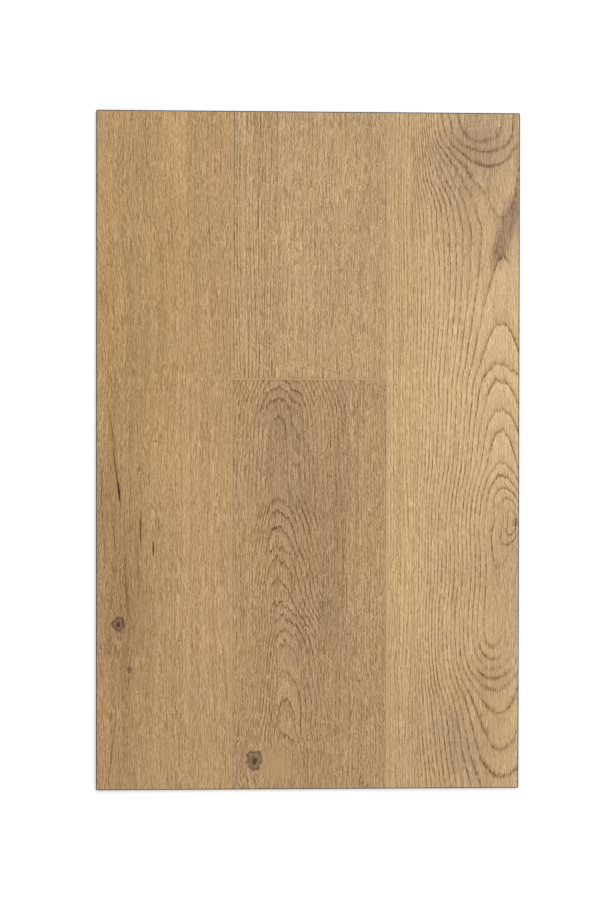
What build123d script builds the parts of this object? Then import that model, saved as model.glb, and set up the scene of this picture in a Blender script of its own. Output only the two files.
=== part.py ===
"""A sample panel of vinyl floor planks, locked edge to edge in three rows and sawn to a rectangle.

The panel lies flat with its printed face up. X runs across the planks, Y along them, and Z is up.
The origin is the middle of the back. Each plank is one solid, with a tongue milled on its right edge
and a groove over a long lip on its left edge. The middle row is two planks, which meet end to end in
the same click joint. Sizes are in millimetres.
"""

import os

from build123d import *

# Panel
panel_width = 500.0
panel_length = 800.0
thickness = 5.0
corner_radius = 1.5
rim_bevel = 1.2

# Planks
plank_width = 183.0  # a whole plank, from seam to seam
left_strip_width = 159.6  # the plank that is sawn down on the left, from the rim to its seam
upper_piece_length = 315.4  # the upper plank of the middle row, from the rim to the end seam

# Bevels along the seams of the printed face
seam_bevel_width = 1.1
seam_bevel_depth = 0.5

# Click joint
lip_thickness = 1.2  # the lip reaches under the next plank
tongue_thickness = 1.4
tongue_reach = 4.0  # past the seam
groove_end_gap = 0.3  # between the tongue's nose and the end of the groove
catch_setback = 3.0  # from the seam to the foot of the catch on the lip
catch_height = 0.6
catch_flat = 0.8  # the top of the catch
catch_back = 0.8  # the slope from the top of the catch to the lip's end
lip_end_gap = 0.3  # between the lip's end and the next plank
joint_clearance = 0.08  # round the tongue and the catch

# Places of the rims and the seams
left_rim, right_rim = -panel_width / 2, panel_width / 2
lower_rim, upper_rim = -panel_length / 2, panel_length / 2
left_seam = left_rim + left_strip_width
right_seam = left_seam + plank_width
end_seam = upper_rim - upper_piece_length

# Heights in the click joint, from the back up
tongue_bottom = lip_thickness + joint_clearance
tongue_top = tongue_bottom + tongue_thickness
groove_top = tongue_top + joint_clearance
catch_top = lip_thickness + catch_height
notch_top = catch_top + joint_clearance
seam_top = thickness - seam_bevel_depth

# Reaches in the click joint, from the seam
groove_reach = tongue_reach + groove_end_gap
lip_reach = catch_setback + catch_height + catch_flat + catch_back
notch_reach = lip_reach + lip_end_gap
catch_slack = joint_clearance * (2**0.5 - 1)  # sideways, which keeps the clearance on a 45 degree face


def sawn_edge(rim):
    """Draws an edge that was sawn square, and gives its ends on the face and on the back."""
    Line((rim, thickness), (rim, 0))
    return rim, rim


def tongue_edge(seam):
    """Draws the edge at the higher end of a section, a tongue with a notch for the next plank's catch."""
    nose_start = seam + tongue_reach - tongue_thickness / 2
    Polyline(
        (seam - seam_bevel_width, thickness),
        (seam, seam_top),
        (seam, tongue_top),
        (nose_start, tongue_top),
    )
    ThreePointArc(
        (nose_start, tongue_top),
        (seam + tongue_reach, (tongue_top + tongue_bottom) / 2),
        (nose_start, tongue_bottom),
    )
    Polyline(
        (nose_start, tongue_bottom),
        (seam - catch_setback + catch_slack, tongue_bottom),
        (seam - catch_setback - catch_height + catch_slack, notch_top),
        (seam - notch_reach, notch_top),
        (seam - notch_reach, 0),
    )
    return seam - seam_bevel_width, seam - notch_reach


def groove_edge(seam):
    """Draws the edge at the lower end of a section, a groove over a lip that ends in a catch."""
    bottom_start = seam + groove_reach - (groove_top - lip_thickness) / 2
    Polyline(
        (seam + seam_bevel_width, thickness),
        (seam, seam_top),
        (seam, groove_top),
        (bottom_start, groove_top),
    )
    ThreePointArc(
        (bottom_start, groove_top),
        (seam + groove_reach, (groove_top + lip_thickness) / 2),
        (bottom_start, lip_thickness),
    )
    Polyline(
        (bottom_start, lip_thickness),
        (seam - catch_setback, lip_thickness),
        (seam - catch_setback - catch_height, catch_top),
        (seam - catch_setback - catch_height - catch_flat, catch_top),
        (seam - lip_reach, lip_thickness),
        (seam - lip_reach, 0),
    )
    return seam + seam_bevel_width, seam - lip_reach


def plank_outline(lower_edge, higher_edge):
    """Closes a section with the face and the back between its two edges."""
    for start, end, height in zip(lower_edge, higher_edge, (thickness, 0)):
        Line((start, height), (end, height))


def face_edges(plank):
    """Gives the edges round the printed face of a plank."""
    return plank.faces().sort_by(Axis.Z)[-1].edges()


with BuildPart() as plank_left:
    with BuildSketch(Plane.XZ):
        with BuildLine():
            plank_outline(sawn_edge(left_rim), tongue_edge(left_seam))
        make_face()
    extrude(amount=panel_length / 2, both=True)
    fillet(plank_left.edges().filter_by(Axis.Z).group_by(Axis.X)[0], corner_radius)
    chamfer(face_edges(plank_left).sort_by(Axis.X)[:-1], rim_bevel)
plank_left.part.label = "plank_left"

with BuildPart() as plank_middle_upper:
    with BuildSketch(Plane.XZ):
        with BuildLine():
            plank_outline(groove_edge(left_seam), tongue_edge(right_seam))
        make_face()
    extrude(amount=panel_length / 2, both=True)
    with BuildSketch(Plane.YZ):
        with BuildLine():
            plank_outline(groove_edge(end_seam), sawn_edge(upper_rim))
        make_face()
    extrude(amount=panel_width / 2, both=True, mode=Mode.INTERSECT)
    # Milling the end cuts the catch loose beside the tongue, and that sliver falls away
    add(plank_middle_upper.solids().sort_by(SortBy.VOLUME)[-1], mode=Mode.REPLACE)
    chamfer(face_edges(plank_middle_upper).sort_by(Axis.Y)[-1], rim_bevel)
plank_middle_upper.part.label = "plank_middle_upper"

with BuildPart() as plank_middle_lower:
    with BuildSketch(Plane.XZ):
        with BuildLine():
            plank_outline(groove_edge(left_seam), tongue_edge(right_seam))
        make_face()
    extrude(amount=panel_length / 2, both=True)
    with BuildSketch(Plane.YZ):
        with BuildLine():
            plank_outline(sawn_edge(lower_rim), tongue_edge(end_seam))
        make_face()
    extrude(amount=panel_width / 2, both=True, mode=Mode.INTERSECT)
    # Here too a sliver of the catch is left loose, at the corner between the lip and the end tongue
    add(plank_middle_lower.solids().sort_by(SortBy.VOLUME)[-1], mode=Mode.REPLACE)
    chamfer(face_edges(plank_middle_lower).sort_by(Axis.Y)[0], rim_bevel)
plank_middle_lower.part.label = "plank_middle_lower"

with BuildPart() as plank_right:
    with BuildSketch(Plane.XZ):
        with BuildLine():
            plank_outline(groove_edge(right_seam), sawn_edge(right_rim))
        make_face()
    extrude(amount=panel_length / 2, both=True)
    fillet(plank_right.edges().filter_by(Axis.Z).group_by(Axis.X)[-1], corner_radius)
    chamfer(face_edges(plank_right).sort_by(Axis.X)[1:], rim_bevel)
plank_right.part.label = "plank_right"

os.makedirs("parts", exist_ok=True)
export_step(plank_left.part, "parts/plank_left.step")
export_step(plank_middle_upper.part, "parts/plank_middle_upper.step")
export_step(plank_middle_lower.part, "parts/plank_middle_lower.step")
export_step(plank_right.part, "parts/plank_right.step")
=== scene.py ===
"""Dresses a sample panel of vinyl floor planks.

Each plank gets an oak print of its own, with growth rings, pores, knots and splits that are pressed
into the face. The seams have smooth painted bevels, lightened by a painted highlight. The dark core
of the planks shows at the sawn rim and on the back. Places and sizes are in millimetres, and tones are
in display levels, of which there are 255.
"""

import logging
import math
from collections.abc import Sequence
from dataclasses import dataclass
from enum import Enum

import bmesh
import bpy
from mathutils import Euler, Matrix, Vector

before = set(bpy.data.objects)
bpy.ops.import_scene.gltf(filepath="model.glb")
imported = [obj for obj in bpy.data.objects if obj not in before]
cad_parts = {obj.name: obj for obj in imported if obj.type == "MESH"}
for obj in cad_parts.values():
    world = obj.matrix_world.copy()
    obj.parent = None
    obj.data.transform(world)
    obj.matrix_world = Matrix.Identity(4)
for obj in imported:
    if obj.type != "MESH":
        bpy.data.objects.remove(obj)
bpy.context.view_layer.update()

MM = 0.001
FULL_LEVEL = 255.0
DISPLAY_GAMMA = 2.2
WHITE = (1.0, 1.0, 1.0, 1.0)

Point = tuple[float, float]
Colour = tuple[float, float, float]
Stations = tuple[Point, ...]

GREY: Colour = (1.0, 1.0, 1.0)
INK: Colour = (1.0, 1.0, 0.94)
BROWN: Colour = (1.05, 0.95, 0.65)
WARM: Colour = (0.0, 0.0, -1.0)
LEAST_SHARE = 0.01

NOISE_STEP: Point = (17.3, -11.9)
CHANCE_STEP = 31.7
RING_STEP = 29.0

log = logging.getLogger("panel")


class Value:
    """A socket that takes part in Python expressions: one number at each point of a surface."""

    def __init__(self, tree: "Tree", socket: bpy.types.NodeSocket) -> None:
        """Wraps a socket of a tree."""
        self.tree = tree
        self.socket = socket

    def __add__(self, other: "Number") -> "Value":
        """Adds a value or a number."""
        return self.tree.math("ADD", self, other)

    def __radd__(self, other: "Number") -> "Value":
        """Adds to a number."""
        return self.tree.math("ADD", other, self)

    def __sub__(self, other: "Number") -> "Value":
        """Takes a value or a number away."""
        return self.tree.math("SUBTRACT", self, other)

    def __rsub__(self, other: "Number") -> "Value":
        """Is taken away from a number."""
        return self.tree.math("SUBTRACT", other, self)

    def __mul__(self, other: "Number") -> "Value":
        """Multiplies by a value or a number."""
        return self.tree.math("MULTIPLY", self, other)

    def __rmul__(self, other: "Number") -> "Value":
        """Multiplies a number."""
        return self.tree.math("MULTIPLY", other, self)

    def __truediv__(self, other: "Number") -> "Value":
        """Divides by a value or a number."""
        return self.tree.math("DIVIDE", self, other)

    def __rtruediv__(self, other: "Number") -> "Value":
        """Divides a number."""
        return self.tree.math("DIVIDE", other, self)

    def __pow__(self, other: "Number") -> "Value":
        """Raises to a power."""
        return self.tree.math("POWER", self, other)

    def __rpow__(self, other: "Number") -> "Value":
        """Raises a number to this power."""
        return self.tree.math("POWER", other, self)

    def __neg__(self) -> "Value":
        """Turns the sign round."""
        return self.tree.math("MULTIPLY", self, -1.0)

    def __abs__(self) -> "Value":
        """Drops the sign."""
        return self.tree.math("ABSOLUTE", self)

    def at_least(self, other: "Number") -> "Value":
        """The larger of the two."""
        return self.tree.math("MAXIMUM", self, other)

    def at_most(self, other: "Number") -> "Value":
        """The smaller of the two."""
        return self.tree.math("MINIMUM", self, other)

    def root(self) -> "Value":
        """The square root."""
        return self.tree.math("SQRT", self)

    def whole(self) -> "Value":
        """The whole part."""
        return self.tree.math("FLOOR", self)

    def part(self) -> "Value":
        """What is left over the whole part."""
        return self.tree.math("FRACT", self)

    def ease(self, start: float, end: float) -> "Value":
        """Goes smoothly from 0 to 1.

        Args:
            start: where it is 0.
            end: where it is 1, which may lie below start.

        Returns:
            The eased value.
        """
        low, high = min(start, end), max(start, end)
        ends = {"To Min": float(start > end), "To Max": float(end > start)}
        node = self.tree.add("ShaderNodeMapRange", {"interpolation_type": "SMOOTHSTEP"},
                             {"Value": self, "From Min": low, "From Max": high, **ends})
        return Value(self.tree, node.outputs[0])

    def bell(self, width: float) -> "Value":
        """Falls from 1 at zero to about a third at the width, on both sides."""
        share = self / width
        return math.exp(-1.0) ** (share * share)


Number = Value | float


class Tree:
    """A node tree that Python expressions fill."""

    def __init__(self, tree: bpy.types.NodeTree) -> None:
        """Empties a tree to start from.

        Args:
            tree: the node tree of a material or a world.
        """
        self.nodes = tree.nodes
        self.links = tree.links
        self.nodes.clear()

    def add(self, kind: str, settings: dict[str, object],
            sockets: dict[str | int, object]) -> bpy.types.Node:
        """Adds one node of any kind.

        Args:
            kind: the node's type.
            settings: the node's own properties. A float curve's stations are one of them.
            sockets: a value or a link for each input, by its name or its number.

        Returns:
            The new node.
        """
        node = self.nodes.new(kind)
        for name, setting in settings.items():
            if name == "stations":
                self._set_stations(node.mapping, setting)
            else:
                setattr(node, name, setting)
        for name, value in sockets.items():
            source = value.socket if isinstance(value, Value) else value
            if isinstance(source, bpy.types.NodeSocket):
                self.links.new(source, node.inputs[name])
            else:
                node.inputs[name].default_value = source
        return node

    @staticmethod
    def _set_stations(mapping: bpy.types.CurveMapping, stations: Sequence[Point]) -> None:
        """Puts a curve through stations.

        Args:
            mapping: the curve of a float curve node.
            stations: points of the curve, each from 0 to 1 both ways, in order.
        """
        points = mapping.curves[0].points
        while len(points) < len(stations):
            points.new(1.0, 1.0)
        for point, station in zip(points, stations):
            point.location = station
            point.handle_type = "AUTO_CLAMPED"
        mapping.update()

    def math(self, operation: str, *values: Number) -> Value:
        """Adds a Math node on values and numbers."""
        node = self.add("ShaderNodeMath", {"operation": operation}, dict(enumerate(values)))
        return Value(self, node.outputs[0])

    def vector(self, operation: str, *vectors: object, result: int = 0) -> Value:
        """Adds a Vector Math node on vectors."""
        node = self.add("ShaderNodeVectorMath", {"operation": operation}, dict(enumerate(vectors)))
        return Value(self, node.outputs[result])

    def join(self, x: Number, y: Number) -> Value:
        """A flat vector from two values."""
        return Value(self, self.add("ShaderNodeCombineXYZ", {}, {"X": x, "Y": y}).outputs[0])

    def chance(self, number: Value, seed: float) -> Value:
        """A random share from 0 to 1 that belongs to a whole number."""
        node = self.add("ShaderNodeTexWhiteNoise", {"noise_dimensions": "1D"},
                        {"W": number + CHANCE_STEP * seed})
        return Value(self, node.outputs[0])

    def curve(self, value: Value, stations: Stations) -> Value:
        """A smooth curve of one value over another.

        Args:
            value: what the curve runs along.
            stations: points that the curve passes through, as (along, height).

        Returns:
            The curve's height at each point.
        """
        ordered = sorted(stations)
        start, end = ordered[0][0], ordered[-1][0]
        low = min(height for _, height in ordered)
        high = max(height for _, height in ordered)
        span, rise = end - start, high - low
        scaled = [((along - start) / span, (height - low) / rise) for along, height in ordered]
        node = self.add("ShaderNodeFloatCurve", {"stations": scaled}, {"Value": (value - start) / span})
        return Value(self, node.outputs[0]) * rise + low


class Place:
    """A point on the printed face: how far across the planks it lies, and how far along them."""

    def __init__(self, x: Value, y: Value) -> None:
        """Keeps both parts, and joins them for the nodes that take a vector.

        Args:
            x: place across the planks, in mm.
            y: place along the planks, in mm.
        """
        self.tree = x.tree
        self.x = x
        self.y = y
        self.vector = self.tree.join(x, y)

    def moved(self, across: Number, along: Number) -> "Place":
        """A point a little way off."""
        return Place(self.x + across, self.y + along)

    def noise(self, size: Point, seed: float, detail: float = 0.0, shift: float = 0.0) -> Value:
        """Cloudy noise about zero, mostly between -0.5 and 0.5.

        Args:
            size: how far the noise takes to change, across and along.
            seed: shifts the noise, so that no two are alike.
            detail: how many finer layers are added.
            shift: how far to the right the noise is read.

        Returns:
            The noise at each point.
        """
        start = (shift / size[0] + NOISE_STEP[0] * seed, NOISE_STEP[1] * seed, 0.0)
        scale = (1.0 / size[0], 1.0 / size[1], 1.0)
        sized = self.tree.add("ShaderNodeMapping", {"vector_type": "POINT"},
                              {"Vector": self.vector, "Location": start, "Scale": scale})
        node = self.tree.add("ShaderNodeTexNoise", {"noise_dimensions": "2D"},
                             {"Vector": sized.outputs[0], "Scale": 1.0, "Detail": detail})
        return Value(self.tree, node.outputs[0]) * 2.0 - 1.0


@dataclass(frozen=True)
class Spot:
    """A soft oval on the face. Its edge sharpens with its power."""

    x: float
    y: float
    width: float
    length: float
    turn: float = 0.0
    power: float = 1.0

    def reach(self, place: Place) -> Value:
        """Measures how far out a point lies.

        Args:
            place: the point on the face.

        Returns:
            The way from the middle, with 1 on the oval itself.
        """
        turn = (0.0, 0.0, math.radians(self.turn))
        node = place.tree.add("ShaderNodeMapping", {"vector_type": "TEXTURE"},
                              {"Vector": place.vector, "Location": (self.x, self.y, 0.0), "Rotation": turn,
                               "Scale": (self.width, self.length, 1.0)})
        return place.tree.vector("LENGTH", node.outputs[0], result=1)

    def cover(self, place: Place) -> Value:
        """How much of the spot lies on a point, from 1 at its middle to 0 well outside."""
        return math.exp(-0.5) ** (self.reach(place) ** (2.0 * self.power))


@dataclass(frozen=True)
class Zone:
    """A rectangle with soft sides, and how much of something shows inside and outside it."""

    left: float = -300.0
    right: float = 300.0
    low: float = -500.0
    high: float = 500.0
    soft: float = 8.0
    inside: float = 1.0
    outside: float = 0.0

    def share(self, place: Place) -> Value:
        """Finds how much shows.

        Args:
            place: the point on the face.

        Returns:
            The share at each point.
        """
        across = place.x.ease(self.left - self.soft, self.left + self.soft)
        across = across * place.x.ease(self.right + self.soft, self.right - self.soft)
        along = place.y.ease(self.low - self.soft, self.low + self.soft)
        along = along * place.y.ease(self.high + self.soft, self.high - self.soft)
        return across * along * (self.inside - self.outside) + self.outside


def blend(tone: float, warmth: float) -> Colour:
    """Joins a brown tone and a warmth into one tint, in display levels."""
    return tuple(tone * brown + warmth * warm for brown, warm in zip(BROWN, WARM))


@dataclass(frozen=True)
class Patch:
    """A broad lighter or darker, warmer or cooler area of the print."""

    spot: Spot
    tone: float
    warmth: float = 0.0

    def tint(self) -> Colour:
        """The levels that the patch adds at its middle."""
        return blend(self.tone, self.warmth)


@dataclass(frozen=True)
class Stroke:
    """A narrow dark mark between two points, such as a split in the wood."""

    start: Point
    end: Point
    width: float
    dark: float

    def tone(self, place: Place) -> Value:
        """Draws the mark.

        Args:
            place: the point on the face.

        Returns:
            The tone at each point.
        """
        across, along = self.end[0] - self.start[0], self.end[1] - self.start[1]
        middle = (self.start[0] + self.end[0]) / 2.0, (self.start[1] + self.end[1]) / 2.0
        turn = math.degrees(math.atan2(along, across)) - 90.0
        spot = Spot(*middle, self.width / 2.0, math.hypot(across, along) / 2.0, turn, 2.0)
        return spot.cover(place) * -self.dark


@dataclass(frozen=True)
class Knot:
    """A knot: a dark core, a dark ring round it, and grain that bends past it."""

    x: float
    y: float
    width: float
    length: float
    dark: float
    bend: float = 0.6
    ring: float = 0.8
    pull: Point = (2.2, 2.6)
    heart: float = 0.35
    body: float = 0.4
    rim: float = 0.85
    rim_width: float = 0.16
    rim_dark: float = 0.7
    ragged: float = 0.3

    def bent(self, place: Place, x: Value) -> Value:
        """Moves the grain aside.

        Args:
            place: the point on the face.
            x: place across the grain before this knot.

        Returns:
            Place across the grain with this knot in it.
        """
        near = Spot(self.x, self.y, self.pull[0] * self.width, self.pull[1] * self.length).cover(place)
        return x - (x - self.x) * near * self.bend

    def tone(self, place: Place) -> Value:
        """Draws the knot.

        Args:
            place: the point on the face.

        Returns:
            The tone at each point.
        """
        ragged = place.noise((6.0, 7.0), 7.0) * self.ragged
        reach = Spot(self.x, self.y, self.width, self.length).reach(place) + ragged
        rim = (reach - self.rim).bell(self.rim_width) * self.rim_dark
        rings = reach.ease(1.1, 0.8) * self.body + rim
        return (reach.bell(self.heart) + rings * self.ring) * -self.dark


@dataclass(frozen=True)
class StraightGrain:
    """Rings cut straight along the plank."""

    pitch: float
    wander: float
    seed: float

    def count(self, place: Place) -> Value:
        """Counts the rings.

        Args:
            place: the point on the face.

        Returns:
            The ring number at each point.
        """
        slow = place.noise((45.0, 260.0), self.seed) * self.wander
        spacing = place.noise((11.0, 400.0), self.seed + 1.0) * 0.7
        return (place.x + slow) / self.pitch + spacing


@dataclass(frozen=True)
class HeartGrain:
    """Rings of a flat-sawn heart: round a drifting axis at one side, and straight at the other."""

    pitch: float
    axis: Stations
    depth: Stations
    spread: Stations
    lean: Stations
    eye: Spot
    eye_pull: float
    far_side: float
    widen: Stations
    straight_pitch: float
    straight_from: Point
    straight_span: Point

    def count(self, place: Place) -> Value:
        """Counts the rings.

        Args:
            place: the point on the face.

        Returns:
            The ring number at each point.
        """
        tree, x, y = place.tree, place.x, place.y
        offset = x - tree.curve(y, self.axis) - self.eye.cover(place) * self.eye_pull
        offset = offset.at_most(0.0) + offset.at_least(0.0) * self.far_side
        across = offset * tree.curve(y, self.spread) / self.pitch
        across = across * (abs(across) * tree.curve(y, self.widen) + 1.0)
        depth = tree.curve(y, self.depth)
        heart = (across * across + depth * depth).root()
        straight = (tree.curve(y, self.lean) - x + self.straight_from[0]) / self.straight_pitch
        straight = straight + self.straight_from[1]
        return heart + (straight - heart) * x.ease(self.straight_span[1], self.straight_span[0])


@dataclass(frozen=True)
class ArchGrain:
    """Pointed arches, one inside the other along an axis, with legs that run down on both sides."""

    axis: Stations
    peaks: Stations
    left_legs: Stations
    right_legs: Stations

    def count(self, place: Place) -> Value:
        """Counts the rings.

        Args:
            place: the point on the face.

        Returns:
            The ring number at each point.
        """
        tree = place.tree
        offset = place.x - tree.curve(place.y, self.axis)
        left = tree.curve((-offset).at_least(0.0), self.left_legs)
        right = tree.curve(offset.at_least(0.0), self.right_legs)
        return tree.curve(place.y, self.peaks) - left - right


@dataclass(frozen=True)
class RingLines:
    """How rings show in the print: a sharp dark edge that fades outwards, with gaps in it."""

    dark: float
    core: float
    shade: float
    uneven: float
    gaps: float
    seed: float
    legs: float = 1.0
    swell: float = 0.0
    swing: float = 0.0
    blur: float = 5.0
    blur_share: float = 0.36
    core_share: float = 0.75

    def tone(self, place: Place, count: Value, slope: Value, crossing: Value, blurred: Value) -> Value:
        """Draws the rings' edges.

        Args:
            place: the point on the face.
            count: the ring number at each point.
            slope: how fast the ring number changes, in rings per mm.
            crossing: how much a line runs across the grain, from 0 to 1.
            blurred: how much of a line is a soft band, from 0 to 1.

        Returns:
            The tone at each point.
        """
        ring, part = count.whole(), count.part()
        gap = part / slope / (crossing * self.swell + 1.0)
        core = (1.0 - gap / self.core).at_least(0.0)
        shade = (1.0 - part / self.shade).at_least(0.0)
        sharp = core * self.core_share + shade * (1.0 - self.core_share)
        near = 0.5 - abs(part - 0.5)
        band = (near / slope / self.blur).at_least(near / self.blur_share).ease(1.0, 0.0)
        shifted = place.moved(ring * RING_STEP, 0.0)
        patchy = shifted.noise((14.0, 14.0), self.seed + 2.0).ease(-0.4, 0.3) * 0.4 + 0.12
        pores = place.noise((1.2, 5.0), self.seed + 3.0) * 1.3 + 1.0
        edge = sharp + (band * patchy * pores - sharp * 0.65) * blurred
        strength = 1.0 - place.tree.chance(ring, self.seed) * self.uneven
        strength = strength * (shifted.noise((40.0, 60.0), self.seed + 1.0) * 0.7 + 1.0)
        strength = strength * (crossing * (1.0 - self.legs) + self.legs)
        dashes = shifted.noise((3.0, 7.0), self.seed).ease(0.12, -0.3) * (1.0 - crossing * 0.6)
        swing = (part - 0.5) * (1.0 - blurred) * self.swing
        return swing - edge * strength * (1.0 - dashes * self.gaps) * self.dark


@dataclass(frozen=True)
class Figure:
    """One set of rings on a plank, how ragged its lines are, and where it shows."""

    grain: StraightGrain | HeartGrain | ArchGrain
    lines: RingLines
    jag: float = 0.0
    zones: tuple[Zone, ...] = ()
    crisp: Zone = Zone()
    calm: tuple[Spot, ...] = ()

    def tone(self, place: Place, seed: float) -> Value:
        """Draws the rings.

        Args:
            place: the point on the face.
            seed: shifts the noise that makes the lines ragged.

        Returns:
            The tone at each point.
        """
        count = self.grain.count(place)
        across = self.grain.count(place.moved(1.0, 0.0)) - count
        along = self.grain.count(place.moved(0.0, 1.0)) - count
        ragged = place.noise((4.2, 40.0), seed) + place.noise((1.4, 20.0), seed + 1.0) * 0.6
        for spot in self.calm:
            ragged = ragged * (1.0 - spot.cover(place))
        slope = (across * across + along * along).root()
        crisp, crossing = self.crisp.share(place), abs(along) / slope
        count = count + along * ragged * crisp * crossing.ease(0.3, 0.9) * self.jag
        tone = self.lines.tone(place, count, slope, crossing, crossing.ease(0.1, 0.6) * (1.0 - crisp))
        for zone in self.zones:
            tone = tone * zone.share(place)
        return tone


@dataclass(frozen=True)
class Layer:
    """One layer of the print's fine texture: streaks of one size, dark and light by turns."""

    size: Point
    level: float
    zones: tuple[Zone, ...] = ()
    stretch: float = 8.0
    side: float = 0.8
    gain: float = 3.4
    darkest: float = -0.54
    lightest: float = 0.4
    middle: float = 1.11

    def tone(self, place: Place, seed: float) -> Value:
        """Draws straight threads that come and go.

        Args:
            place: the point on the face.
            seed: shifts the noise that the threads come from.

        Returns:
            The tone at each point.
        """
        across, along = self.size
        long = across, self.stretch * along
        step = self.side * across
        sides = place.noise(long, seed, shift=step) + place.noise(long, seed, shift=-step)
        threads = place.noise(long, seed) * 2.0 - sides
        ridge = threads * place.noise((2.0 * across, along), seed + 0.5) * self.gain
        tone = ridge.ease(self.darkest, self.lightest) * (2.0 * self.level) - self.middle * self.level
        for zone in self.zones:
            tone = tone * zone.share(place)
        return tone


class Way(Enum):
    """Which way a seam runs."""

    ALONG = "along the planks"
    ACROSS = "across the planks"


@dataclass(frozen=True)
class Seam:
    """A line where two planks meet. Their edges are bevelled there, and the bevels are painted smooth."""

    way: Way
    at: float
    bevel: float = 1.1
    groove: float = 1.3
    soft: float = 0.15

    def shares(self, place: Place) -> tuple[Value, Value]:
        """Finds the seam on the face.

        Args:
            place: the point on the face.

        Returns:
            How much of a point is bevel, and how much is the dark line beside it.
        """
        gap = abs((place.x if self.way is Way.ALONG else place.y) - self.at)
        bevel = gap.ease(self.bevel + self.soft, self.bevel - self.soft)
        return bevel, gap.ease(self.bevel + self.groove, self.bevel + 2.0 * self.soft) * (1.0 - bevel)


LEFT_SEAM = Seam(Way.ALONG, -90.4)
RIGHT_SEAM = Seam(Way.ALONG, 92.6)
END_SEAM = Seam(Way.ACROSS, 84.6)


class Surface(Tree):
    """A material that has a print on the face and bare core elsewhere."""

    def __init__(self, name: str) -> None:
        """Makes an empty material.

        Args:
            name: the material's name.
        """
        self.material = bpy.data.materials.new(name)
        self.material.use_nodes = True
        super().__init__(self.material.node_tree)
        coordinates = self.add("ShaderNodeTexCoord", {}, {})
        split = self.add("ShaderNodeSeparateXYZ", {}, {"Vector": coordinates.outputs["Object"]})
        x, y, self.height = (Value(self, socket) / MM for socket in split.outputs)
        self.place = Place(x, y)

    def tint(self, levels: Value | Colour, share: Value, tint: Colour) -> Value:
        """Adds a share of a tint to display levels."""
        return self.vector("MULTIPLY_ADD", share, tint, levels)

    def colour(self, levels: Value) -> Value:
        """Turns display levels into a colour.

        Args:
            levels: red, green and blue, in display levels.

        Returns:
            The colour.
        """
        shares = self.vector("MULTIPLY", levels, (1.0 / FULL_LEVEL,) * 3)
        kept = self.vector("MAXIMUM", shares, (LEAST_SHARE,) * 3)
        node = self.add("ShaderNodeGamma", {}, {"Color": kept, "Gamma": DISPLAY_GAMMA})
        return Value(self, node.outputs[0])

    def mix(self, share: Value, first: Value, second: Value) -> Value:
        """Mixes two colours."""
        node = self.add("ShaderNodeMix", {"data_type": "RGBA"}, {0: share, 6: first, 7: second})
        return Value(self, node.outputs[2])

    def finish(self, colour: Value, roughness: Value, relief: Value) -> None:
        """Closes the material.

        Args:
            colour: base colour.
            roughness: roughness of the surface.
            relief: height of the relief, in mm.
        """
        bump = self.add("ShaderNodeBump", {}, {"Height": relief, "Distance": MM, "Strength": 1.0})
        shader = self.add("ShaderNodeBsdfPrincipled", {},
                          {"Base Color": colour, "Roughness": roughness, "Normal": bump.outputs[0],
                           "Specular IOR Level": 0.25})
        self.add("ShaderNodeOutputMaterial", {}, {"Surface": shader.outputs[0]})


@dataclass(frozen=True)
class Core:
    """The dark mineral-filled vinyl under the print. It is bare on the rim, the sides and the back."""

    colour: Colour = (56.0, 53.0, 51.0)
    roughness: float = 0.62
    mottle: float = 9.0
    relief: float = 0.002
    half_width: float = 250.0
    half_length: float = 400.0
    rim_bevel: float = 1.2
    print_bottom: float = 4.48
    soft: float = 0.1

    def share(self, surface: Surface) -> Value:
        """Finds the bare core.

        Args:
            surface: the plank's material.

        Returns:
            How much of a point is bare core.
        """
        place = surface.place
        rim = (self.half_width - abs(place.x)).at_most(self.half_length - abs(place.y))
        below = surface.height.ease(self.print_bottom, self.print_bottom - self.soft)
        return rim.ease(self.rim_bevel + self.soft, self.rim_bevel - self.soft).at_least(below)

    def tone(self, surface: Surface) -> Value:
        """The mottled tone of the filling."""
        place = Place(surface.place.x + surface.height, surface.place.y + surface.height)
        return place.noise((2.2, 2.2), 5.0, 2.0) * self.mottle


CORE = Core()


@dataclass(frozen=True)
class OakPrint:
    """The oak print of one plank, from its broad tone down to its pores."""

    base: Colour
    figures: tuple[Figure, ...]
    layers: tuple[Layer, ...]
    patches: tuple[Patch, ...]
    knots: tuple[Knot, ...] = ()
    strokes: tuple[Stroke, ...] = ()
    slants: tuple[Spot, ...] = ()
    slant: float = 0.17
    smooth: tuple[Spot, ...] = ()
    smoothing: float = 0.8
    cloud: float = 5.0
    cloud_warmth: float = 3.0
    roughness: float = 0.46
    # Lift of the seam bevels above the print: a painted highlight where the bevels catch the light
    bevel_highlight: float = 9.0
    groove_tone: float = 13.0
    relief: float = 0.0009
    seed: float = 1.0

    def grain_place(self, place: Place) -> Place:
        """Leans the grain in some areas and bends it round the knots.

        Args:
            place: the point on the face.

        Returns:
            The point as the grain sees it.
        """
        x = place.x
        for spot in self.slants:
            x = x + spot.cover(place) * (place.y - spot.y) * self.slant
        for knot in self.knots:
            x = knot.bent(place, x)
        return Place(x, place.y)

    def fine_tone(self, place: Place) -> Value:
        """Draws the rings and the fine texture.

        Args:
            place: the point on the face.

        Returns:
            The tone at each point.
        """
        along = self.grain_place(place)
        tone = 0.0
        for number, part in enumerate((*self.figures, *self.layers), 1):
            tone = part.tone(along, self.seed + number) + tone
        for spot in self.smooth:
            tone = tone * (1.0 - spot.cover(place) * self.smoothing)
        return tone

    def broad_levels(self, surface: Surface) -> Value:
        """Lays the patches and the knots over the base colour.

        Args:
            surface: the plank's material.

        Returns:
            The display levels at each point.
        """
        cloud = surface.place.noise((26.0, 90.0), self.seed + 8.0, 1.0)
        levels = surface.tint(self.base, cloud, blend(self.cloud, self.cloud_warmth))
        for patch in self.patches:
            levels = surface.tint(levels, patch.spot.cover(surface.place), patch.tint())
        for knot in self.knots:
            levels = surface.tint(levels, knot.tone(surface.place), BROWN)
        return levels


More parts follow.
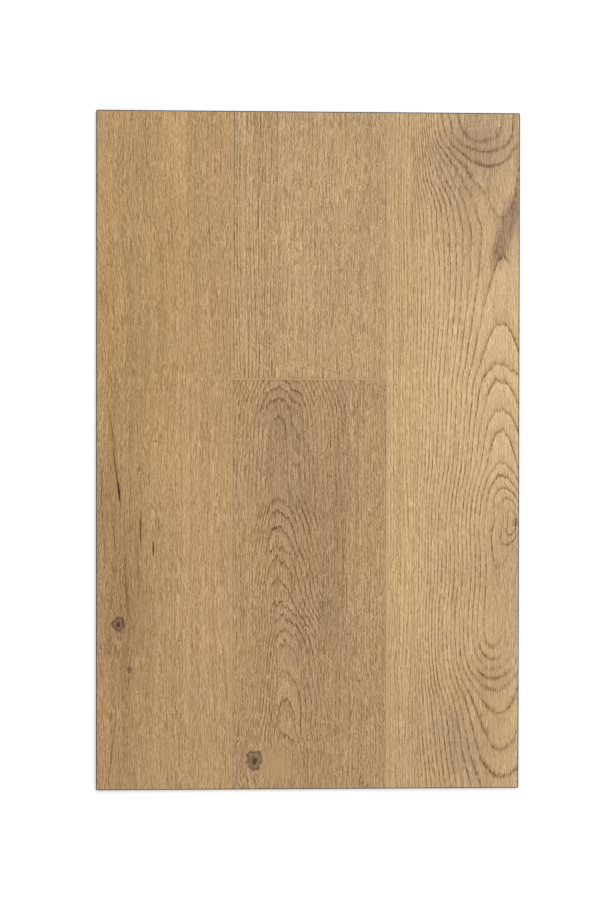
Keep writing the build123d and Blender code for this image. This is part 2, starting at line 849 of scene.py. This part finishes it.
@dataclass(frozen=True)
class Plank:
    """One plank of the panel: its oak print, the seams round it and its bare core."""

    node: str
    seams: tuple[Seam, ...]
    oak: OakPrint

    def dress(self) -> bpy.types.Object:
        """Paints the plank's solid.

        Returns:
            The painted object.
        """
        surface = Surface(f"{self.node}_print")
        place, oak = surface.place, self.oak
        fine = oak.fine_tone(place)
        for stroke in oak.strokes:
            fine = stroke.tone(place) + fine
        bevel, groove = self.seams[0].shares(place)
        for seam in self.seams[1:]:
            other_bevel, other_groove = seam.shares(place)
            bevel, groove = bevel.at_least(other_bevel), groove.at_least(other_groove)
        printed = 1.0 - bevel
        # The bevels get plain paint without grain, lightened by a painted highlight; the groove is a dark
        # line
        tone = fine * printed + bevel * oak.bevel_highlight - groove * oak.groove_tone
        wood = surface.colour(surface.tint(oak.broad_levels(surface), tone, INK))
        bare, filling = CORE.share(surface), CORE.tone(surface)
        core = surface.colour(surface.tint(CORE.colour, filling, GREY))
        relief = fine * printed * (1.0 - bare) * oak.relief + filling * bare * CORE.relief
        roughness = bare * (CORE.roughness - oak.roughness) + oak.roughness
        surface.finish(surface.mix(bare, wood, core), roughness, relief)
        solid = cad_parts[self.node]
        for slot in solid.material_slots:
            slot.material = surface.material
        return solid


LEFT_LINES = RingLines(dark=28.0, core=1.2, shade=0.6, uneven=0.5, gaps=0.6, seed=1.0)
UPPER_EDGE_LINES = RingLines(dark=72.0, core=1.2, shade=0.6, uneven=0.4, gaps=0.5, seed=2.0)
UPPER_LINES = RingLines(dark=36.0, core=1.2, shade=0.6, uneven=0.5, gaps=0.7, seed=3.0)
LOWER_LINES = RingLines(dark=38.0, core=1.2, shade=0.6, uneven=0.4, gaps=0.8, seed=3.0)
TOP_ARCH_LINES = RingLines(dark=52.0, core=1.8, shade=0.4, uneven=0.3, gaps=0.7, seed=4.0, legs=0.8,
                           swell=1.2, swing=6.0)
LOW_ARCH_LINES = RingLines(dark=84.0, core=1.4, shade=0.4, uneven=0.15, gaps=0.7, seed=5.0, legs=0.65,
                           swell=1.0, swing=6.0)
HEART_LINES = RingLines(dark=62.0, core=1.3, shade=0.4, uneven=0.2, gaps=0.7, seed=6.0, legs=1.3,
                        swell=2.6, swing=10.0)
RIGHT_LINES = RingLines(dark=58.0, core=1.2, shade=0.6, uneven=0.4, gaps=0.5, seed=7.0)

LEFT = Plank(
    node="plank_left",
    seams=(LEFT_SEAM,),
    oak=OakPrint(
        base=(181.5, 145.5, 102.5),
        figures=(Figure(StraightGrain(pitch=5.4, wander=9.0, seed=1.0), LEFT_LINES),),
        layers=(
            Layer((1.1, 3.0), 12.0),
            Layer((1.1, 10.0), 19.0),
            Layer((1.4, 60.0), 3.0),
            Layer((8.0, 230.0), 3.0),
        ),
        patches=(
            Patch(Spot(-235.0, -36.0, 9.0, 33.0), -14.0),
            Patch(Spot(-220.0, -160.0, 22.0, 80.0), -20.0),
            Patch(Spot(-195.0, 130.0, 16.0, 260.0), -4.0),
            Patch(Spot(-130.0, -170.0, 36.0, 190.0), 6.0, -4.0),
            Patch(Spot(-238.0, 180.0, 12.0, 90.0), -3.0, 8.0),
            Patch(Spot(-170.0, 150.0, 40.0, 220.0), 0.0, 4.0),
            Patch(Spot(-223.0, 94.0, 19.0, 53.0), -7.0),
            Patch(Spot(-221.0, -342.0, 29.0, 59.0), -7.0),
            Patch(Spot(-209.0, 342.0, 17.0, 35.0), -5.0),
            Patch(Spot(-153.0, 365.0, 9.0, 47.0), 7.0),
            Patch(Spot(-127.0, 306.0, 11.0, 59.0), -5.0),
            Patch(Spot(-160.0, -24.0, 17.0, 47.0), 6.0),
        ),
        knots=(
            Knot(-223.5, -204.5, 7.0, 10.0, 66.0, 0.7),
            Knot(-210.3, -257.3, 3.6, 4.0, 46.0, 0.5),
            Knot(-231.7, -312.8, 2.6, 4.4, 46.0, 0.5),
            Knot(-179.3, 10.9, 3.4, 1.7, 44.0, 0.5),
            Knot(-200.6, -22.1, 2.4, 2.4, 36.0, 0.5),
        ),
        strokes=(
            Stroke((-229.5, 1.4), (-222.4, -55.0), 1.8, 52.0),
            Stroke((-224.0, -38.0), (-222.0, -58.0), 2.4, 75.0),
            Stroke((-197.8, -77.4), (-197.8, -109.2), 1.5, 80.0),
            Stroke((-183.1, -108.0), (-182.5, -122.1), 1.6, 105.0),
            Stroke((-228.2, -323.4), (-235.2, -391.8), 1.6, 28.0),
            Stroke((-236.4, 52.7), (-224.6, -12.1), 1.6, 30.0),
            Stroke((-232.8, -59.3), (-225.8, -130.0), 1.8, 26.0),
            Stroke((-244.6, -23.9), (-239.9, -130.0), 2.2, 22.0),
            Stroke((-216.3, -126.5), (-212.8, -189.0), 1.7, 30.0),
            Stroke((-201.0, -107.7), (-200.2, -175.5), 1.6, 32.0),
        ),
        slants=(Spot(-240.0, 250.0, 50.0, 90.0),),
        smooth=(Spot(-223.5, -204.5, 7.0, 11.0),),
        seed=1.0,
    ),
)

MIDDLE_UPPER = Plank(
    node="plank_middle_upper",
    seams=(LEFT_SEAM, RIGHT_SEAM, END_SEAM),
    oak=OakPrint(
        base=(185.0, 153.0, 112.0),
        figures=(
            Figure(StraightGrain(pitch=4.1, wander=6.0, seed=12.0), UPPER_EDGE_LINES,
                   zones=(Zone(right=-38.0),)),
            Figure(StraightGrain(pitch=4.6, wander=6.0, seed=15.0), UPPER_LINES,
                   zones=(Zone(left=-38.0), Zone(left=38.0, inside=0.4, outside=1.0))),
        ),
        layers=(
            Layer((1.1, 3.0), 17.0),
            Layer((1.1, 10.0), 19.5),
            Layer((1.4, 60.0), 9.0),
            Layer((8.0, 230.0), 3.0),
        ),
        patches=(
            Patch(Spot(-58.0, 195.0, 6.0, 25.0), -9.0),
            Patch(Spot(78.0, 306.0, 12.0, 70.0), -7.0),
            Patch(Spot(24.0, 355.0, 16.0, 45.0), 6.0),
            Patch(Spot(45.0, 220.0, 40.0, 170.0), -5.0),
            Patch(Spot(0.0, 375.0, 80.0, 50.0), -6.0),
        ),
        seed=21.0,
    ),
)

ARCH_AXIS = ((94.0, -35.6), (-59.0, -36.7), (-153.0, -37.0), (-200.0, -31.8), (-224.0, -28.2),
             (-295.0, -28.0), (-342.0, -33.9), (-401.0, -33.8))

TOP_ARCHES = ArchGrain(
    axis=ARCH_AXIS,
    peaks=((87.6, -1.0), (74.9, 0.0), (62.3, 1.0), (41.7, 2.0), (-23.0, 2.6), (-55.0, 3.0),
           (-64.5, 3.3)),
    left_legs=((0.0, 0.0), (6.0, 0.08), (9.0, 0.24), (12.0, 0.42), (16.0, 0.95), (20.0, 1.55),
               (29.5, 3.5), (53.0, 8.5)),
    right_legs=((0.0, 0.0), (6.0, 0.09), (10.6, 0.35), (16.5, 1.1), (23.0, 1.3), (26.0, 1.45),
                (29.5, 2.05), (41.0, 4.2), (71.0, 10.0)),
)

LOW_ARCHES = ArchGrain(
    axis=ARCH_AXIS,
    peaks=((-35.0, -2.2), (-55.0, -1.0), (-71.5, 0.0), (-88.0, 1.0), (-111.7, 2.0), (-127.0, 3.0),
           (-149.4, 4.0), (-176.6, 5.0), (-194.3, 6.0), (-210.9, 7.0), (-226.0, 8.0), (-257.0, 9.0),
           (-290.7, 10.0), (-331.4, 11.0), (-349.2, 12.0), (-400.0, 15.0)),
    left_legs=((0.0, 0.0), (4.7, 0.12), (8.7, 0.42), (11.8, 0.93), (15.3, 2.0), (20.0, 3.4),
               (29.5, 6.0)),
    right_legs=((0.0, 0.0), (4.7, 0.1), (8.3, 0.28), (11.8, 0.42), (17.7, 0.95), (23.6, 1.85),
                (35.4, 3.7), (47.0, 5.8)),
)

MIDDLE_LOWER = Plank(
    node="plank_middle_lower",
    seams=(LEFT_SEAM, RIGHT_SEAM, END_SEAM),
    oak=OakPrint(
        base=(175.0, 143.0, 104.0),
        figures=(
            Figure(StraightGrain(pitch=4.0, wander=5.0, seed=31.0), LOWER_LINES,
                   zones=(Zone(right=45.0, low=-58.0, soft=14.0, inside=0.0, outside=1.0),
                          Zone(-64.0, 12.0, -350.0, -58.0, soft=16.0, inside=0.0, outside=1.0))),
            Figure(TOP_ARCHES, TOP_ARCH_LINES, jag=3.0,
                   zones=(Zone(right=45.0, low=-58.0, soft=14.0),)),
            Figure(LOW_ARCHES, LOW_ARCH_LINES, jag=5.5,
                   zones=(Zone(-64.0, 12.0, -350.0, -58.0, soft=16.0),)),
        ),
        layers=(
            Layer((1.1, 3.0), 15.0),
            Layer((1.1, 10.0), 19.0),
            Layer((1.4, 60.0), 5.0),
            Layer((8.0, 230.0), 2.0),
        ),
        patches=(
            Patch(Spot(-24.0, 41.0, 17.0, 30.0), -8.0),
            Patch(Spot(-24.0, -40.0, 20.0, 90.0), -9.0),
            Patch(Spot(36.0, -60.0, 8.0, 110.0), -9.0),
            Patch(Spot(21.0, -177.0, 17.0, 105.0), -7.0),
            Patch(Spot(66.0, -180.0, 16.0, 150.0), 6.0),
            Patch(Spot(-74.0, -130.0, 14.0, 140.0), 4.0),
            Patch(Spot(-38.0, -377.0, 12.0, 15.0), 5.0),
        ),
        knots=(
            Knot(-63.5, -365.5, 9.5, 12.5, 70.0, 0.7),
            Knot(58.9, -271.5, 5.0, 4.2, 55.0, 0.3, 0.0),
            Knot(-83.5, -343.0, 4.8, 3.8, 50.0, 0.3, 0.0),
            Knot(64.4, -392.4, 4.0, 3.0, 36.0, 0.3, 0.0),
        ),
        smooth=(Spot(-63.5, -365.5, 9.0, 12.0), Spot(-38.0, -374.0, 11.0, 15.0)),
        seed=41.0,
    ),
)

HEART = HeartGrain(
    pitch=6.18,
    axis=((415.0, 199.0), (396.0, 200.5), (380.0, 202.0), (366.0, 204.5), (350.0, 209.0), (335.0, 214.0),
          (318.0, 219.0), (285.0, 227.0), (240.0, 229.5), (190.0, 228.5), (143.0, 227.5), (103.0, 226.5),
          (0.0, 228.0), (-85.0, 225.0), (-148.0, 223.0), (-218.0, 218.5), (-267.0, 219.0),
          (-292.0, 223.5), (-330.0, 227.0), (-403.0, 230.0)),
    depth=((415.0, 6.7), (396.0, 7.2), (380.0, 7.45), (366.0, 8.05), (355.0, 9.0), (345.0, 9.6),
           (335.0, 10.1), (310.0, 10.6), (278.0, 11.0), (261.0, 11.25), (235.0, 11.05), (205.0, 10.8),
           (178.0, 10.45), (150.0, 10.0), (103.0, 9.0), (82.0, 8.0), (48.0, 7.0), (22.0, 6.0),
           (-15.0, 5.0), (-31.0, 4.0), (-45.0, 3.0), (-57.0, 2.0), (-70.0, 1.2), (-85.0, 0.3),
           (-100.0, 1.2), (-112.0, 2.1), (-125.0, 2.7), (-145.0, 3.1), (-219.0, 3.6), (-232.0, 4.0),
           (-246.0, 5.0), (-258.0, 6.0), (-269.0, 7.0), (-280.0, 7.8), (-303.0, 8.8), (-330.0, 9.5),
           (-362.0, 10.2), (-386.0, 11.0), (-403.0, 11.4)),
    spread=((415.0, 0.81), (396.0, 0.82), (332.0, 0.84), (308.0, 0.91), (285.0, 1.01), (238.0, 1.1),
            (190.0, 1.15), (106.0, 1.16), (50.0, 1.25), (0.0, 1.32), (-71.0, 1.31), (-218.0, 1.31),
            (-250.0, 1.22), (-277.0, 1.12), (-320.0, 1.06), (-403.0, 1.03)),
    lean=((415.0, -12.5), (396.0, -12.0), (332.0, -8.5), (285.0, -2.5), (238.0, 0.0), (143.0, -0.5),
          (0.0, -3.0), (-148.0, -5.0), (-218.0, -6.0), (-277.0, -5.5), (-360.0, 0.0), (-403.0, 3.0)),
    eye=Spot(237.3, -84.6, 15.4, 23.7),
    eye_pull=17.8,
    far_side=0.85,
    widen=((415.0, 0.042), (396.0, 0.04), (332.0, 0.03), (285.0, 0.012), (238.0, 0.004), (106.0, 0.007),
           (0.0, 0.0), (-218.0, 0.0), (-277.0, 0.01), (-403.0, 0.014)),
    straight_pitch=4.6,
    straight_from=(152.7, 18.0),
    straight_span=(115.0, 156.0),
)

RIGHT = Plank(
    node="plank_right",
    seams=(RIGHT_SEAM,),
    oak=OakPrint(
        base=(196.0, 164.0, 122.0),
        figures=(
            Figure(
                HEART,
                HEART_LINES,
                jag=4.0,
                zones=(Zone(left=128.0, soft=10.0),
                       Zone(224.0, 300.0, -262.0, -112.0, inside=0.25, outside=1.0),
                       Zone(237.0, 300.0, 160.0, 256.0, inside=0.0, outside=1.0)),
                crisp=Zone(low=-110.0, high=250.0, soft=30.0),
                calm=(Spot(238.0, -84.6, 30.0, 46.0),)),
            Figure(StraightGrain(pitch=3.3, wander=4.0, seed=71.0), RIGHT_LINES,
                   zones=(Zone(right=128.0, soft=10.0),)),
        ),
        layers=(
            Layer((1.1, 3.0), 11.0),
            Layer((1.1, 10.0), 16.0),
            Layer((1.4, 60.0), 6.0),
            Layer((8.0, 230.0), 2.0),
        ),
        patches=(
            Patch(Spot(198.0, 75.0, 45.0, 125.0), 8.0),
            Patch(Spot(240.0, 90.0, 14.0, 110.0), 4.0),
            Patch(Spot(145.0, 94.0, 14.0, 83.0), 3.0),
            Patch(Spot(222.0, -140.0, 24.0, 50.0), -5.0),
            Patch(Spot(242.0, -342.0, 7.0, 48.0), 6.0),
            Patch(Spot(200.0, 362.0, 40.0, 36.0), -26.0),
            Patch(Spot(235.0, 385.0, 25.0, 25.0), -4.0, -4.0),
            Patch(Spot(184.0, 272.0, 34.0, 52.0), -14.0),
            Patch(Spot(233.0, 261.0, 9.0, 38.0, -15.0, 2.0), -37.0),
            Patch(Spot(246.0, 276.0, 6.0, 22.0, -5.0, 2.0), -16.0),
            Patch(Spot(180.0, -342.0, 36.0, 42.0), -14.0, -1.0),
            Patch(Spot(212.0, -270.0, 18.0, 14.0), -10.0),
            Patch(Spot(228.0, -130.0, 12.0, 36.0), -5.0),
            Patch(Spot(112.0, 60.0, 16.0, 260.0), 0.0, 5.0),
            Patch(Spot(114.0, -130.0, 26.0, 120.0), 8.0),
            Patch(Spot(110.0, 345.0, 18.0, 70.0), -5.0),
        ),
        knots=(
            Knot(246.2, -84.6, 4.2, 5.0, 60.0, 0.3),
            Knot(117.6, -257.5, 4.6, 4.2, 50.0, 0.3, 0.0),
        ),
        seed=61.0,
    ),
)

PLANKS = (LEFT, MIDDLE_UPPER, MIDDLE_LOWER, RIGHT)


@dataclass(frozen=True)
class Studio:
    """A white floor, soft light from the upper right and a camera that looks down on the panel. In metres."""

    floor_size: float = 6.0
    floor_gap: float = 0.0002
    floor_level: float = 0.8
    floor_lift: float = 0.3
    sky: float = 0.73
    key_power: float = 30.5
    key_size: float = 1.6
    key_place: tuple[float, float, float] = (1.1, 1.4, 2.3)
    lens: float = 70.0
    sensor: float = 36.0
    camera_place: tuple[float, float, float] = (-0.0884, 0.0205, 2.068)
    camera_turn: tuple[float, float, float] = (-0.543, -2.17, 0.086)

    def build(self) -> None:
        """Makes the floor, the light and the camera."""
        bpy.context.scene.view_settings.view_transform = "Standard"
        self.lay_floor()
        self.set_sky()
        self.hang_key()
        self.set_camera()

    @staticmethod
    def seen(tree: Tree) -> Value:
        """Tells what the camera sees, by itself, in a reflection or through something.

        Args:
            tree: the tree to add to.

        Returns:
            1 where the camera sees a point, and 0 elsewhere.
        """
        path = tree.add("ShaderNodeLightPath", {}, {})
        straight, mirrored, through = (
            Value(tree, path.outputs[f"Is {kind} Ray"]) for kind in ("Camera", "Glossy", "Transmission"))
        return straight.at_least(mirrored).at_least(through)

    def lay_floor(self) -> None:
        """Lays the white floor just under the panel."""
        mesh = bpy.data.meshes.new("floor")
        shape = bmesh.new()
        bmesh.ops.create_grid(shape, x_segments=1, y_segments=1, size=self.floor_size / 2.0)
        bmesh.ops.translate(shape, verts=shape.verts, vec=(0.0, 0.0, -self.floor_gap))
        shape.to_mesh(mesh)
        shape.free()
        material = bpy.data.materials.new("white_floor")
        material.use_nodes = True
        tree = Tree(material.node_tree)
        paint = tree.add("ShaderNodeBsdfDiffuse", {}, {"Color": (*[self.floor_level] * 3, 1.0)})
        glow = self.seen(tree) * self.floor_lift
        lift = tree.add("ShaderNodeEmission", {}, {"Color": WHITE, "Strength": glow})
        both = tree.add("ShaderNodeAddShader", {}, {0: paint.outputs[0], 1: lift.outputs[0]})
        tree.add("ShaderNodeOutputMaterial", {}, {"Surface": both.outputs[0]})
        mesh.materials.append(material)
        floor = bpy.data.objects.new("floor", mesh)
        bpy.context.scene.collection.objects.link(floor)

    def set_sky(self) -> None:
        """Sets an even white sky, which is plain white where the camera sees it."""
        world = bpy.data.worlds.new("white_sky")
        world.use_nodes = True
        tree = Tree(world.node_tree)
        strength = self.seen(tree) * (1.0 - self.sky) + self.sky
        sky = tree.add("ShaderNodeBackground", {}, {"Color": WHITE, "Strength": strength})
        tree.add("ShaderNodeOutputWorld", {}, {"Surface": sky.outputs[0]})
        bpy.context.scene.world = world

    def hang_key(self) -> None:
        """Hangs the soft key lamp, which faces the panel."""
        lamp = bpy.data.lights.new("key", "AREA")
        lamp.energy = self.key_power
        lamp.size = self.key_size
        holder = bpy.data.objects.new("key", lamp)
        holder.location = self.key_place
        holder.rotation_euler = Vector(self.key_place).to_track_quat("Z", "Y").to_euler()
        bpy.context.scene.collection.objects.link(holder)

    def set_camera(self) -> None:
        """Sets the camera above the panel."""
        camera = bpy.data.cameras.new("camera")
        camera.lens = self.lens
        camera.sensor_width = self.sensor
        holder = bpy.data.objects.new("camera", camera)
        holder.location = self.camera_place
        holder.rotation_euler = Euler([math.radians(turn) for turn in self.camera_turn])
        bpy.context.scene.collection.objects.link(holder)
        bpy.context.scene.camera = holder


def main() -> None:
    """Dresses the planks, sets the studio up and logs how many knots and sets of rings each plank has."""
    logging.basicConfig(level=logging.INFO, format="%(message)s")
    for plank in PLANKS:
        solid = plank.dress()
        log.info("%s: %d knots, %d sets of rings", solid.name, len(plank.oak.knots), len(plank.oak.figures))
    Studio().build()


if __name__ == "__main__":
    main()
